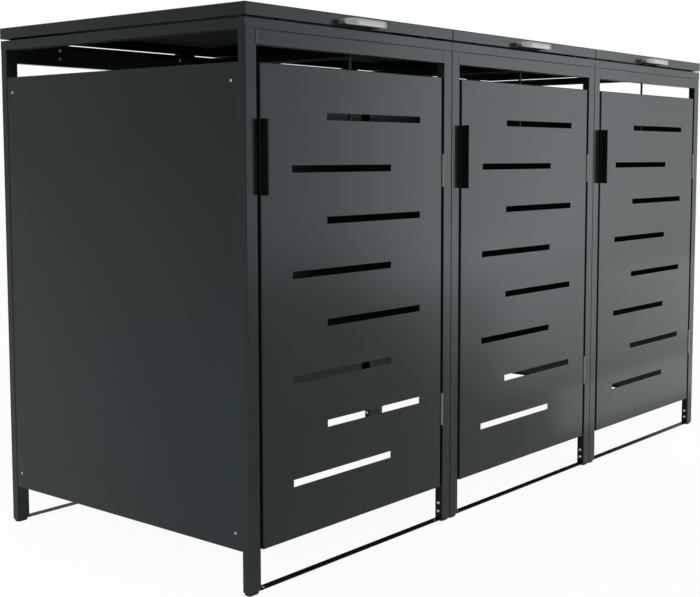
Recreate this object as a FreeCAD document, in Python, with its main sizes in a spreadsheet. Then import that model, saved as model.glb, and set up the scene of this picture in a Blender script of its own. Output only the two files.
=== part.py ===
import FreeCAD
import Part
import Sketcher

import os
import re

# A row of three steel housings for wheelie bins. Each module has four posts with their rails, a
# hinged front door with ventilation slots, a lid hinged at the back and a back panel, and the two
# end modules close the row with a side panel.
#
# Lengths are millimetres. X runs along the row to the right, Y from the doors to the back, Z up.
# Shapes are drawn from the row's front left corner on the ground, and each sub-part's Placement
# then moves the origin to the middle of the footprint, on the ground.

MODULES = 3
SLOTS = 8

SIZES = {
    # Frame of square tube
    "module_width": 674,
    "module_gap": 1.5,
    "frame_depth": 801,
    "frame_height": 1137,
    "post_width": 30,
    "post_depth": 20,
    "rail_height": 21,
    "head_height": 30,
    "tube_wall": 1.5,
    "tube_corner": 1.2,
    # Plastic feet, plugged into the posts
    "foot_height": 6.5,
    "foot_inset": 0.5,
    "foot_corner": 7.5,
    "foot_edge": 1.5,
    "plug_length": 12,
    "plug_gap": 0.2,
    # Strips on the ground between the posts, with anchor holes
    "strip_bottom": 6,
    "strip_sheet": 2,
    "strip_inset": 1,
    "strip_tab_top": 96,
    "strip_screw_low": 26,
    "strip_screw_high": 46,
    "anchor_inset": 17,
    "anchor_radius": 4,
    # Side and back panels, folded from sheet, on lugs welded to the posts
    "panel_bottom": 87.9,
    "panel_top_gap": 33,
    "panel_sheet": 1.2,
    "panel_fold": 15,
    "panel_gap": 0.5,
    "panel_inset": 1.2,
    "fold_radius": 2,
    "lug_leg": 17,
    "lug_reach": 32,
    "lug_height": 30,
    "lug_sheet": 3,
    "lug_screw_inset": 20,
    "lug_margin": 35.5,
    # Doors
    "door_gap_left": 9,
    "door_gap_right": 9,
    "door_seat": 0.3,
    "door_sheet": 1.2,
    "slot_height": 15,
    "slot_bottom": 108,
    "slot_top": 92.2,
    "slot_left": 89.7,
    "slot_right": 82.8,
    "slot_shift": 105.5,
    # Door grips
    "grip_length": 149,
    "grip_top": 108.4,
    "grip_stand": 21,
    "grip_flange": 22,
    "grip_sheet": 3,
    "grip_screw_inset": 25,
    # Door hinges
    "hinge_length": 74,
    "hinge_low": 150.2,
    "hinge_top": 177.4,
    "hinge_leaf": 2,
    "hinge_leaf_depth": 18,
    "hinge_screw_depth": 11,
    "hinge_screw_inset": 12,
    "knuckle_radius": 3.5,
    "knuckle_gap": 0.5,
    "hinge_pin": 1.6,
    "pin_gap": 0.05,
    "pin_head": 1,
    # Magnetic catches at the doors' free edges
    "catch_height": 60,
    "catch_lap": 7,
    "catch_sheet": 2,
    "catch_screw_inset": 8,
    "magnet_width": 5,
    "magnet_height": 36,
    "magnet_depth": 8,
    "magnet_gap": 0.2,
    # Lids
    "lid_gap": 4,
    "lid_height": 25,
    "lid_overhang": 2,
    "lid_rear_overhang": 0.5,
    "lid_seam": 1,
    "lid_sheet": 1.5,
    "buffer_radius": 7.5,
    "buffer_gap": 0.3,
    "buffer_inset": 102,
    # Bow handles on the lids
    "bow_span": 137,
    "bow_stand": 32,
    "bow_leg": 20,
    "bow_face": 84,
    "bow_height": 15,
    "bow_bar": 5,
    "bow_radius": 8,
    "bow_drop": 9,
    # Lid hinges
    "lid_hinge_inset": 94,
    "lid_hinge_width": 43,
    "lid_hinge_ear": 20,
    "lid_hinge_plate": 3,
    "lid_hinge_finger": 18,
    "lid_leaf": 2,
    "lid_pin_radius": 2,
    "lid_knuckle_radius": 4,
    "tongue_gap": 0.5,
    "lid_bolt_pitch": 20,
    "lid_bolt_drop": 2,
    "lid_bolt_margin": 10,
    "lid_screw_inset": 10,
    # Lifters that hook a bin's own lid
    "lifter_offset": 9,
    "lifter_back": 34,
    "lifter_radius": 3.25,
    "lifter_length": 224,
    "lifter_eye": 8,
    "lifter_eye_width": 5.5,
    "lifter_hook": 10,
    "lifter_tip": 10,
    "staple_pin": 2.5,
    "staple_sheet": 2,
    "staple_depth": 24,
    "staple_gap": 0.4,
    # Plates that join two modules
    "join_width": 50,
    "join_height": 40,
    "join_rise": 240,
    "join_drop": 156,
    "join_screw_spread": 30,
    "join_sheet": 2,
    # Pan-head screws
    "screw_radius": 2,
    "screw_length": 10,
    "screw_gap": 0.1,
    "head_radius": 4,
    "head_thickness": 1.5,
    "panel_head_radius": 3,
}

# Places and lengths that follow from the sizes
PLACES = {
    "module_pitch": "module_width + module_gap",
    "row_width": f"{MODULES} * module_pitch - module_gap",
    "right_post": "module_width - post_width",
    "bay_width": "module_width - 2 * post_width",
    "rear_post": "frame_depth - post_depth",
    "side_length": "frame_depth - 2 * post_depth",
    "ring_bottom": "frame_height - rail_height",
    "head_bottom": "ring_bottom - head_height",
    "panel_height": "head_bottom - panel_top_gap - panel_bottom",
    "panel_top": "panel_bottom + panel_height",
    "door_left": "post_width + door_gap_left",
    "door_width": "bay_width - door_gap_left - door_gap_right",
    "door_axis_x": "right_post - door_gap_right / 2",
    "slot_length": "door_width - slot_left - slot_shift - slot_right",
    "slot_pitch": f"(panel_height - slot_bottom - slot_top - slot_height) / {SLOTS - 1}",
    "grip_bottom": "panel_top - grip_top - grip_length",
    "catch_bottom": "grip_bottom + (grip_length - catch_height) / 2",
    "knuckle_length": "hinge_length / 3",
    "lid_bottom": "frame_height + lid_gap",
    "lid_top": "lid_bottom + lid_height",
    "lid_back": "frame_depth + lid_rear_overhang",
    "lid_axis_y": "lid_back + lid_knuckle_radius + knuckle_gap",
    "lid_axis_z": "frame_height + lid_gap / 2",
    "tongue_sheet": "lid_gap - 2 * tongue_gap",
    "lid_bolt_middle": "ring_bottom - lid_bolt_drop",
    "bow_slant": "(bow_span - bow_face) / 2",
    "bow_drop_back": "bow_stand - bow_leg",
    "bow_slope": "sqrt(bow_slant * bow_slant + bow_drop_back * bow_drop_back)",
    "lifter_x": "module_width / 2 + lifter_offset",
    "lifter_axis_z": "lid_top - lid_sheet - staple_sheet - lifter_eye - staple_gap",
    "drill_radius": "screw_radius + screw_gap",
    "origin_x": "row_width / 2",
    "front_reach": "lid_overhang + bow_stand",
    "rear_reach": "lid_axis_y + lid_knuckle_radius",
    "origin_y": "(rear_reach - front_reach) / 2",
}

AXES = {
    "+x": FreeCAD.Vector(1, 0, 0),
    "-x": FreeCAD.Vector(-1, 0, 0),
    "+y": FreeCAD.Vector(0, 1, 0),
    "-y": FreeCAD.Vector(0, -1, 0),
    "+z": FreeCAD.Vector(0, 0, 1),
}

doc = FreeCAD.newDocument("bin_store")
sheet = doc.addObject("Spreadsheet::Sheet", "Sizes")
for row, (alias, number) in enumerate(SIZES.items(), start=1):
    sheet.set(f"A{row}", str(number))
    sheet.setAlias(f"A{row}", alias)
doc.recompute()

nodes = []


def bound(text):
    """Writes an expression out in the sheet's own values."""

    def written(match):
        word = match.group()
        if word in PLACES:
            return "(" + bound(PLACES[word]) + ")"
        return "Sizes." + word if word in SIZES else word

    return re.sub(r"[a-z_]+", written, str(text))


def value(text):
    """The present number of an expression."""
    return float(sheet.evalExpression(bound(text)))


def bind(item, **lengths):
    """Ties an object's lengths to expressions."""
    for name, text in lengths.items():
        item.setExpression(name, bound(text))


def put(item, at, turn=FreeCAD.Rotation()):
    """Places an object at three expressions, turned as given."""
    item.Placement = FreeCAD.Placement(FreeCAD.Vector(), turn)
    for axis, text in zip("xyz", at):
        item.setExpression(f"Placement.Base.{axis}", bound(text))
    return item


def towards(axis):
    """The turn that points an upright piece along an axis."""
    return FreeCAD.Rotation(AXES["+z"], AXES[axis])


def about(axis, degrees):
    """A turn about an axis."""
    return FreeCAD.Rotation(AXES[axis], degrees)


def box(name, size, at):
    item = doc.addObject("Part::Box", name)
    bind(item, Length=size[0], Width=size[1], Height=size[2])
    return put(item, at)


def cylinder(name, radius, height, at, axis="+z"):
    item = doc.addObject("Part::Cylinder", name)
    bind(item, Radius=radius, Height=height)
    return put(item, at, towards(axis))


def fuse(name, pieces):
    item = doc.addObject("Part::MultiFuse", name)
    item.Shapes = pieces
    return item


def group(name, pieces):
    """Keeps separate solids together as one object."""
    item = doc.addObject("Part::Compound", name)
    item.Links = pieces
    return item


def cut(name, base, tools):
    item = doc.addObject("Part::Cut", name)
    item.Base = base
    item.Tool = tools[0] if len(tools) == 1 else group(name + "_cutters", tools)
    return item


def placed(name, piece, at, turn=FreeCAD.Rotation()):
    """Another copy of a piece, at its own place."""
    return put(group(name, [piece]), at, turn)


def node(label, pieces, module=0):
    """Makes a sub-part of pieces drawn in the first module, and moves it to its own module."""
    item = put(group(label, pieces), (f"{module} * module_pitch - origin_x", "-origin_y", "0"))
    item.Label = label
    nodes.append(item)
    return item


def extruded(name, plane, corners, length):
    """Extrudes an outline up from XY, back from XZ or to the right from YZ."""
    body = doc.addObject("PartDesign::Body", name)
    sketch = body.newObject("Sketcher::SketchObject", name + "_outline")
    ground = next(item for item in body.Origin.OriginFeatures if item.Role == plane + "_Plane")
    sketch.AttachmentSupport = [(ground, "")]
    sketch.MapMode = "FlatFace"
    points = [FreeCAD.Vector(value(across), value(along), 0) for across, along in corners]
    for start, end in zip(points, points[1:] + points[:1]):
        sketch.addGeometry(Part.LineSegment(start, end), False)
    for line in range(len(points)):
        sketch.addConstraint(
            Sketcher.Constraint("Coincident", line, 2, (line + 1) % len(points), 1)
        )
    for line, corner in enumerate(corners):
        for kind, text in zip(("DistanceX", "DistanceY"), corner):
            index = sketch.addConstraint(Sketcher.Constraint(kind, -1, 1, line, 1, value(text)))
            sketch.setExpression(f"Constraints[{index}]", bound(text))
    pad = body.newObject("PartDesign::Pad", name + "_pad")
    pad.Profile = sketch
    pad.Reversed = plane == "XZ"
    bind(pad, Length=length)
    doc.recompute()
    return body


def rounded(body, radius, chosen):
    """Rounds those edges of a body that a test picks."""
    last = body.Tip
    picked = [f"Edge{n}" for n, edge in enumerate(last.Shape.Edges, start=1) if chosen(edge)]
    fillet = body.newObject("PartDesign::Fillet", body.Name + "_rounding")
    fillet.Base = (last, picked)
    bind(fillet, Radius=radius)
    doc.recompute()
    return body


def runs_along(edge, axis):
    """Whether an edge is straight and parallel to X, Y or Z."""
    reach = edge.BoundBox
    spans = {"X": reach.XLength, "Y": reach.YLength, "Z": reach.ZLength}
    return spans[axis] > 0.001 and all(span < 0.001 for key, span in spans.items() if key != axis)


def tube(name, size, at, axis):
    """A square tube along one axis, with rounded corners and open ends."""
    across, back, up = size
    outline = (("0", "0"), (across, "0"), (across, back), ("0", back))
    body = extruded(name + "_bar", "XY", outline, up)
    rounded(body, "tube_corner", lambda edge: runs_along(edge, axis))
    inner = []
    start = []
    for key, length in zip("XYZ", size):
        inner.append(f"{length}" if key == axis else f"{length} - 2 * tube_wall")
        start.append("0" if key == axis else "tube_wall")
    hollow = cut(name, body, [box(name + "_bore", inner, start)])
    return put(hollow, at)


def pan(name, width, height, depth, sheet_name, sides=True):
    """A sheet face in XZ with its edges folded back along Y: all four, or top and bottom."""
    outline = (("0", "0"), (width, "0"), (width, height), ("0", height))
    body = extruded(name + "_block", "XZ", outline, depth)
    back = value(depth)
    folds = (
        (lambda edge: abs(edge.BoundBox.YMax - back) > 0.001 or edge.BoundBox.YLength > 0.001)
        if sides
        else (lambda edge: runs_along(edge, "X") and edge.BoundBox.YMax < 0.001)
    )
    rounded(body, "fold_radius", folds)
    if sides:
        room = (f"{width} - 2 * {sheet_name}", depth, f"{height} - 2 * {sheet_name}")
        start = (sheet_name, sheet_name, sheet_name)
    else:
        room = (width, depth, f"{height} - 2 * {sheet_name}")
        start = ("0", sheet_name, sheet_name)
    return cut(name, body, [box(name + "_room", room, start)])


def pan_screw(radius):
    """A screw with a rounded pan head, its shank pointing up from under the head."""
    head = doc.addObject("PartDesign::Body", "screw_head")
    sketch = head.newObject("Sketcher::SketchObject", "screw_head_outline")
    ground = next(item for item in head.Origin.OriginFeatures if item.Role == "XY_Plane")
    sketch.AttachmentSupport = [(ground, "")]
    sketch.MapMode = "FlatFace"
    middle = FreeCAD.Vector()
    sketch.addGeometry(Part.Circle(middle, AXES["+z"], value(radius)), False)
    sketch.addConstraint(Sketcher.Constraint("Coincident", 0, 3, -1, 1))
    index = sketch.addConstraint(Sketcher.Constraint("Radius", 0, value(radius)))
    sketch.setExpression(f"Constraints[{index}]", bound(radius))
    pad = head.newObject("PartDesign::Pad", "screw_head_pad")
    pad.Profile = sketch
    pad.Reversed = True
    bind(pad, Length="head_thickness")
    doc.recompute()
    low = -value("head_thickness") / 2
    rounded(head, "head_thickness * 0.8", lambda edge: edge.BoundBox.ZMax < low)
    shank = cylinder("screw_shank", "screw_radius", "screw_length", ("0", "0", "0"))
    return fuse("screw", [head, shank])


SCREW = pan_screw("head_radius")
PANEL_SCREW = pan_screw("panel_head_radius")
DRILL = cylinder("drill", "drill_radius", "screw_length + 2", ("0", "0", "-1"))


def screws(name, fixings, screw=SCREW):
    """One screw for each fixing, a place under the head and the way the shank points."""
    return [placed(name, screw, at, towards(axis)) for at, axis in fixings]


def drills(name, fixings):
    """The clearance holes of the same fixings, as cutters."""
    return [placed(name + "_drill", DRILL, at, towards(axis)) for at, axis in fixings]


# Fixings, each drawn for one module from that module's left side


def strip_fixings(left):
    """Screws through the strips' end tabs into the posts, low down."""
    found = []
    for middle in ("post_depth / 2", "frame_depth - post_depth / 2"):
        for level in ("strip_screw_low", "strip_screw_high"):
            found.append(((f"{left} + post_width + strip_sheet", middle, level), "-x"))
            found.append(((f"{left} + right_post - strip_sheet", middle, level), "+x"))
    return found


def hinge_levels():
    """The middle heights of a door's two hinges."""
    return ["panel_bottom + hinge_low + hinge_length / 2",
            "panel_top - hinge_top - hinge_length / 2"]


def hinge_fixings(left, side):
    """Screws of the door hinges' leaves, on the post or on the door's edge."""
    reach = "door_gap_right / 2 - hinge_leaf"
    place = f"{left} + door_axis_x {'+' if side == 'post' else '-'} ({reach})"
    shift = "hinge_length / 2 - hinge_screw_inset"
    found = []
    for level in hinge_levels():
        for height in (f"{level} - ({shift})", f"{level} + {shift}"):
            found.append(((place, "hinge_screw_depth", height), "+x" if side == "post" else "-x"))
    return found


def panel_levels():
    """The heights of the lugs that hold a side or back panel."""
    return ("panel_bottom + lug_margin", "panel_top - lug_margin")


def back_panel_fixings(left):
    found = []
    for level in panel_levels():
        for place in ("post_width + lug_screw_inset", "right_post - lug_screw_inset"):
            face = "frame_depth - panel_inset"
            found.append(((f"{left} + {place}", face, level), "-y"))
    return found


def side_panel_fixings(face, axis):
    found = []
    for level in panel_levels():
        for place in ("post_depth + lug_screw_inset", "rear_post - lug_screw_inset"):
            found.append(((face, place, level), axis))
    return found


def catch_fixings(left):
    """Screws of a catch plate, on the back of the post at the door's free edge."""
    place = f"{left} + post_width / 2"
    inset = "catch_screw_inset"
    levels = (f"catch_bottom + {inset}", f"catch_bottom + catch_height - {inset}")
    return [((place, "post_depth + catch_sheet", level), "-y") for level in levels]


def join_levels():
    """The middle heights of the plates that join two modules."""
    return ("panel_bottom + join_rise", "head_bottom - join_drop")


def join_fixings(seam):
    """Screws of the plates that join two modules, into both posts at the front and the back."""
    found = []
    for face, axis in (("post_depth + join_sheet", "-y"), ("rear_post - join_sheet", "+y")):
        for level in join_levels():
            for side in ("-", "+"):
                found.append(((f"{seam} {side} join_screw_spread / 2", face, level), axis))
    return found


def lid_bolt_fixings(left):
    """Bolts of the lid hinges' plates, one in the top rail and one in the head rail."""
    inset = "lid_hinge_inset + lid_hinge_width + lid_hinge_ear / 2"
    face = "rear_post - lid_hinge_plate"
    found = []
    for place in (inset, f"module_width - ({inset})"):
        for side in ("+", "-"):
            level = f"lid_bolt_middle {side} lid_bolt_pitch / 2"
            found.append(((f"{left} + {place}", face, level), "+y"))
    return found


def lid_leaf_fixings():
    """Screws of the lid hinges' leaves, in the lid's rear edge."""
    face = "lid_back + lid_leaf"
    middle = "lid_hinge_inset + lid_hinge_width / 2"
    found = []
    for place in (middle, f"module_width - ({middle})"):
        for side in ("-", "+"):
            spread = f"{side} (lid_hinge_width / 2 - lid_screw_inset)"
            found.append(((f"{place} {spread}", face, "lid_top - lid_height / 2"), "-y"))
    return found


def bow_fixings():
    """Screws from inside the lid's front edge into the bow handle's legs."""
    level = "lid_top - bow_drop - bow_height / 2"
    shift = "(bow_span - bow_bar) / 2"
    places = (f"module_width / 2 - {shift}", f"module_width / 2 + {shift}")
    return [((place, "lid_sheet - lid_overhang", level), "-y") for place in places]


def grip_fixings():
    """Screws through the door grip's flange."""
    place = "door_left + (grip_flange + grip_sheet) / 2"
    low = "grip_bottom + grip_screw_inset"
    high = "grip_bottom + grip_length - grip_screw_inset"
    return [((place, "-grip_sheet", level), "+y") for level in (low, high)]


def ring_ends():
    """Plates welded into the ends of the top ring's two long rails."""
    size = ("tube_wall", "post_depth - 2 * tube_wall", "rail_height - 2 * tube_wall")
    return [box("ring_end", size, (across, f"{back} + tube_wall", "ring_bottom + tube_wall"))
            for back in ("0", "rear_post") for across in ("0", "module_width - tube_wall")]


def frame_tubes():
    """The tubes of one module: front and rear posts with their head rails, and the top ring."""
    upright = ("post_width", "post_depth", "ring_bottom - foot_height")
    head = ("bay_width", "post_depth", "head_height")
    rings = [
        tube("front_ring_rail", ("module_width", "post_depth", "rail_height"),
             ("0", "0", "ring_bottom"), "X"),
        tube("left_ring_rail", ("post_width", "side_length", "rail_height"),
             ("0", "post_depth", "ring_bottom"), "Y"),
        tube("right_ring_rail", ("post_width", "side_length", "rail_height"),
             ("right_post", "post_depth", "ring_bottom"), "Y"),
        tube("rear_ring_rail", ("module_width", "post_depth", "rail_height"),
             ("0", "rear_post", "ring_bottom"), "X"),
    ]
    rings[3] = cut("rear_ring_rail_drilled", rings[3], drills("ring", lid_bolt_fixings("0")))
    rings += ring_ends()
    fixings = strip_fixings("0") + hinge_fixings("0", "post") + catch_fixings("0")
    fixings += join_fixings("-module_gap / 2") + join_fixings("module_width + module_gap / 2")
    ends = {}
    for name, back in (("front", "0"), ("rear", "rear_post")):
        posts = []
        for side, across in (("left", "0"), ("right", "right_post")):
            post = tube(f"{name}_{side}_post", upright, (across, back, "foot_height"), "Z")
            posts.append(cut(f"{name}_{side}_post_drilled", post, drills("post", fixings)))
        rail = tube(f"{name}_head_rail", head, ("post_width", back, "head_bottom"), "X")
        if name == "rear":
            rail = cut("rear_head_rail_drilled", rail, drills("head", lid_bolt_fixings("0")))
        ends[name] = posts + [rail]
    return ends["front"], ends["rear"], rings


def feet():
    """Black feet under the posts, each with a plug inside the tube."""
    across = "post_width - 2 * foot_inset"
    back = "post_depth - 2 * foot_inset"
    outline = (("0", "0"), (across, "0"), (across, back), ("0", back))
    pad = extruded("foot_pad", "XY", outline, "foot_height")
    rounded(pad, "foot_corner", lambda edge: runs_along(edge, "Z"))
    rounded(pad, "foot_edge", lambda edge: edge.BoundBox.ZMax < 0.001)
    put(pad, ("foot_inset", "foot_inset", "0"))
    side = "tube_wall + plug_gap"
    size = (f"post_width - 2 * ({side})", f"post_depth - 2 * ({side})", "plug_length")
    plug = box("foot_plug", size, (side, side, "foot_height"))
    foot = fuse("foot", [pad, plug])
    found = []
    for module in range(MODULES):
        for across in (f"{module} * module_pitch", f"{module} * module_pitch + right_post"):
            for back in ("0", "rear_post"):
                found.append(placed("foot_copy", foot, (across, back, "0")))
    return found


def ground_strips():
    """Flat strips between the posts with a hole near each end, and the tabs that hold them."""
    strips = []
    tabs = []
    foot = "strip_bottom + strip_sheet"
    deep = "post_depth - 2 * strip_inset"
    ends = (("0", "strip_tab_top"), ("rear_post", "panel_bottom - 2 * panel_gap"))
    for module in range(MODULES):
        left = f"{module} * module_pitch"
        fixings = strip_fixings(left)
        for back, tab_top in ends:
            front = f"{back} + strip_inset"
            bar = box("strip_bar", ("bay_width", deep, "strip_sheet"),
                      (f"{left} + post_width", front, "strip_bottom"))
            holes = [
                cylinder("anchor_hole", "anchor_radius", "3 * strip_sheet",
                         (f"{left} + {place}", f"{back} + post_depth / 2",
                          "strip_bottom - strip_sheet"))
                for place in ("post_width + anchor_inset", "right_post - anchor_inset")
            ]
            strips.append(cut("strip", bar, holes))
            for place in ("post_width", "right_post - strip_sheet"):
                plate = box("tab_plate", ("strip_sheet", deep, f"{tab_top} - ({foot})"),
                            (f"{left} + {place}", front, foot))
                tabs.append(cut("tab", plate, drills("tab", fixings)))
    return strips, tabs


def lug_piece():
    """An angle with one leg for the post, along X, and one for the panel, along Y."""
    outline = (("0", "0"), ("lug_leg", "0"), ("lug_leg", "lug_sheet"), ("lug_sheet", "lug_sheet"),
               ("lug_sheet", "lug_reach"), ("0", "lug_reach"))
    angle = extruded("lug_angle", "XY", outline, "lug_height")
    put(angle, ("0", "0", "-lug_height / 2"))
    hole = cylinder("lug_hole", "drill_radius", "3 * lug_sheet",
                    ("-lug_sheet", "lug_screw_inset", "0"), "+x")
    return cut("lug", angle, [hole])


def panel_lugs():
    """The welded lugs behind the corners of the side and back panels."""
    lug = lug_piece()
    inset = "panel_inset + panel_sheet"
    found = []
    ends = (("post_depth", 0), ("rear_post", 1))
    for level in panel_levels():
        for back, mirrored in ends:
            turn = about("+x", 180) if mirrored else FreeCAD.Rotation()
            found.append(placed("left_lug", lug, (inset, back, level), turn))
            turn = about("+z", 180) if mirrored else about("+y", 180)
            found.append(placed("right_lug", lug, (f"row_width - ({inset})", back, level), turn))
        for module in range(MODULES):
            left = f"{module} * module_pitch"
            back = f"frame_depth - ({inset})"
            turn = about("+z", -90)
            found.append(placed("back_lug", lug, (f"{left} + post_width", back, level), turn))
            turn = about("+z", -90) * about("+x", 180)
            found.append(placed("back_lug", lug, (f"{left} + right_post", back, level), turn))
    return found


def side_panel():
    """One side panel as a pan, with its face outwards in XZ."""
    return pan("side_pan", "side_length - 2 * panel_gap", "panel_height", "panel_fold",
               "panel_sheet", sides=False)


def back_panel():
    """The back panel of one module, drilled for its lugs."""
    sheet_pan = pan("back_pan", "bay_width - 2 * panel_gap", "panel_height", "panel_fold",
                    "panel_sheet", sides=False)
    placed_pan = placed("back_pan_placed", sheet_pan,
                        ("right_post - panel_gap", "frame_depth - panel_inset", "panel_bottom"),
                        about("+z", 180))
    return cut("back_panel", placed_pan, drills("back", back_panel_fixings("0")))


def door_leaf():
    """One door: a pan with eight slots that step to the left and right in turn."""
    sheet_pan = pan("door_pan", "door_width", "panel_height", "post_depth - door_seat",
                    "door_sheet")
    put(sheet_pan, ("door_left", "0", "panel_bottom"))
    cutters = []
    for slot in range(SLOTS):
        shift = "slot_shift" if slot % 2 else "0"
        at = (f"door_left + slot_left + {shift}", "-door_sheet",
              f"panel_bottom + slot_bottom + {slot} * slot_pitch")
        cutters.append(box("slot", ("slot_length", "3 * door_sheet", "slot_height"), at))
    cutters += drills("door", hinge_fixings("0", "door") + grip_fixings())
    return cut("door_sheet_cut", sheet_pan, cutters)


def door_grip():
    """An angle of plate that stands out from the door's free edge."""
    outline = (("0", "0"), ("grip_flange", "0"), ("grip_flange", "-grip_sheet"),
               ("grip_sheet", "-grip_sheet"), ("grip_sheet", "-grip_stand"),
               ("0", "-grip_stand"))
    angle = extruded("grip_angle", "XY", outline, "grip_length")
    front = -value("grip_stand")
    rounded(angle, "grip_sheet * 0.45",
            lambda edge: runs_along(edge, "Z") and abs(edge.BoundBox.YMin - front) < 0.001)
    put(angle, ("door_left", "0", "grip_bottom"))
    return cut("grip", angle, drills("grip", grip_fixings()))


def hinge_pieces(side):
    """The leaves of a door's two hinges: the post's with two knuckles, the door's with one."""
    sign = "+" if side == "post" else "-"
    found = []
    for level in hinge_levels():
        bottom = f"{level} - hinge_length / 2"
        near = "door_axis_x + door_gap_right / 2 - hinge_leaf"
        if side == "door":
            near = "door_axis_x - door_gap_right / 2"
        plate = box(f"{side}_leaf_plate", ("hinge_leaf", "hinge_leaf_depth", "hinge_length"),
                    (near, "0", bottom))
        web = box(f"{side}_leaf_web", ("door_gap_right / 2", "hinge_leaf", "hinge_length"),
                  ("door_axis_x" if side == "post" else near, "0", bottom))
        wide = "knuckle_radius + knuckle_gap"
        third = "knuckle_length"
        axis = ("door_axis_x", "0")
        if side == "post":
            barrel = cylinder("post_barrel", "knuckle_radius", "hinge_length", axis + (bottom,))
            away = [cylinder("post_room", wide, f"{third} + 2 * knuckle_gap",
                             axis + (f"{bottom} + {third} - knuckle_gap",))]
        else:
            barrel = cylinder("door_barrel", "knuckle_radius", third,
                              axis + (f"{bottom} + {third}",))
            away = [cylinder("door_room", wide, third, axis + (bottom,)),
                    cylinder("door_room", wide, third, axis + (f"{bottom} + 2 * {third}",))]
        bore = cylinder(f"{side}_bore", "hinge_pin + pin_gap", "hinge_length + 2",
                        axis + (f"{bottom} - 1",))
        leaf = fuse(f"{side}_leaf_blank", [plate, web, barrel])
        holes = drills(side, hinge_fixings("0", side))
        found.append(cut(f"{side}_leaf", leaf, away + [bore] + holes))
    return found


def hinge_pins():
    """The pins of one door's hinges, with a flat head at each end."""
    found = []
    axis = ("door_axis_x", "0")
    for level in hinge_levels():
        bottom = f"{level} - hinge_length / 2"
        pin = cylinder("pin_rod", "hinge_pin", "hinge_length", axis + (bottom,))
        low = cylinder("pin_end", "knuckle_radius", "pin_head", axis + (f"{bottom} - pin_head",))
        high = cylinder("pin_end", "knuckle_radius", "pin_head",
                        axis + (f"{bottom} + hinge_length",))
        found.append(fuse("pin", [low, pin, high]))
    return found


def catch():
    """The plate and the magnet that stop a door at its free edge."""
    start = "panel_inset + panel_sheet + panel_gap"
    end = "door_left + catch_lap"
    plate = box("catch_blank", (f"{end} - ({start})", "catch_sheet", "catch_height"),
                (start, "post_depth", "catch_bottom"))
    at = (f"{end} - magnet_width - 2 * magnet_gap", "post_depth",
          "catch_bottom + (catch_height - magnet_height) / 2")
    magnet = box("magnet", ("magnet_width", "magnet_depth", "magnet_height"), at)
    window = box("magnet_window",
                 ("magnet_width + 2 * magnet_gap", "catch_sheet",
                  "magnet_height + 2 * magnet_gap"),
                 (f"{at[0]} - magnet_gap", at[1], f"{at[2]} - magnet_gap"))
    plate_cut = cut("catch", plate, [window] + drills("catch", catch_fixings("0")))
    return plate_cut, magnet


def join_plates():
    """Plates behind the posts where two modules meet."""
    found = []
    for module in range(1, MODULES):
        seam = f"{module} * module_pitch - module_gap / 2"
        for back in ("post_depth", "rear_post - join_sheet"):
            for level in join_levels():
                plate = box("join_blank", ("join_width", "join_sheet", "join_height"),
                            (f"{seam} - join_width / 2", back, f"{level} - join_height / 2"))
                found.append(cut("join_plate", plate, drills("join", join_fixings(seam))))
    return found


def lid_buffers(left):
    """Rubber buffers on the front rail that carry the closed lid."""
    height = "lid_gap + lid_height - lid_sheet - buffer_gap"
    places = ("buffer_inset", "module_width - buffer_inset")
    return [cylinder("lid_buffer", "buffer_radius", height,
                     (f"{left} + {place}", "post_depth / 2", "frame_height"))
            for place in places]


def lid_pan(module):
    """One lid, folded down on all sides, with the row's overhang on an outer side."""
    inner = "(module_gap - lid_seam) / 2"
    left = "-lid_overhang" if module == 0 else f"-{inner}"
    right = "lid_overhang" if module == MODULES - 1 else inner
    width = f"module_width + {right} - ({left})"
    sheet_pan = pan(f"lid_pan_{module + 1}", f"({width})", "(lid_back + lid_overhang)",
                    "lid_height", "lid_sheet")
    laid = placed(f"lid_pan_laid_{module + 1}", sheet_pan, (left, "-lid_overhang", "lid_top"),
                  about("+x", -90))
    return cut(f"lid_drilled_{module + 1}", laid,
               drills("lid", lid_leaf_fixings() + bow_fixings()))


def bow_handle():
    """A flat bar bent to a bow: two legs on the lid's front edge, two slants and the grip."""
    left = "module_width / 2 - bow_span / 2"
    right = "module_width / 2 + bow_span / 2"
    base = "-lid_overhang"
    knee = f"{base} - bow_leg"
    front = f"{base} - bow_stand"
    bar = "bow_bar"
    inner_knee = f"{knee} + {bar} * bow_slant / (bow_slope + bow_drop_back)"
    shift = f"(bow_slant + {bar} * bow_drop_back / (bow_slope + bow_slant))"
    outline = ((left, base), (left, knee), (f"{left} + bow_slant", front),
               (f"{right} - bow_slant", front), (right, knee), (right, base),
               (f"{right} - {bar}", base), (f"{right} - {bar}", inner_knee),
               (f"{right} - {shift}", f"{front} + {bar}"),
               (f"{left} + {shift}", f"{front} + {bar}"),
               (f"{left} + {bar}", inner_knee), (f"{left} + {bar}", base))
    bow = extruded("bow_bar_body", "XY", outline, "bow_height")
    outer = (value(knee), value(front))
    inner = (value(inner_knee), value(f"{front} + {bar}"))

    def bends(places):
        """Picks the upright edges at the bends on one side of the bar."""
        return lambda edge: runs_along(edge, "Z") and any(
            abs(edge.BoundBox.YMin - place) < 0.001 for place in places)

    rounded(bow, "bow_radius", bends(outer))
    rounded(bow, "bow_radius - bow_bar", bends(inner))
    rounded(bow, "bow_bar * 0.3",
            lambda edge: not runs_along(edge, "Z") and edge.BoundBox.ZLength < 0.001
            and not (edge.BoundBox.YLength < 0.001 and abs(edge.BoundBox.YMax - value(base)) < 0.001))
    put(bow, ("0", "0", "lid_top - bow_drop - bow_height"))
    return cut("bow", bow, drills("bow", bow_fixings()))


def lid_hinge_axis(left):
    """A cylinder's place and length along one lid hinge's barrel."""
    return (left, "lid_axis_y", "lid_axis_z"), "lid_hinge_width"


def lid_hinge_lefts():
    """The left ends of a lid's two hinges."""
    return ("lid_hinge_inset", "module_width - lid_hinge_inset - lid_hinge_width")


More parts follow.
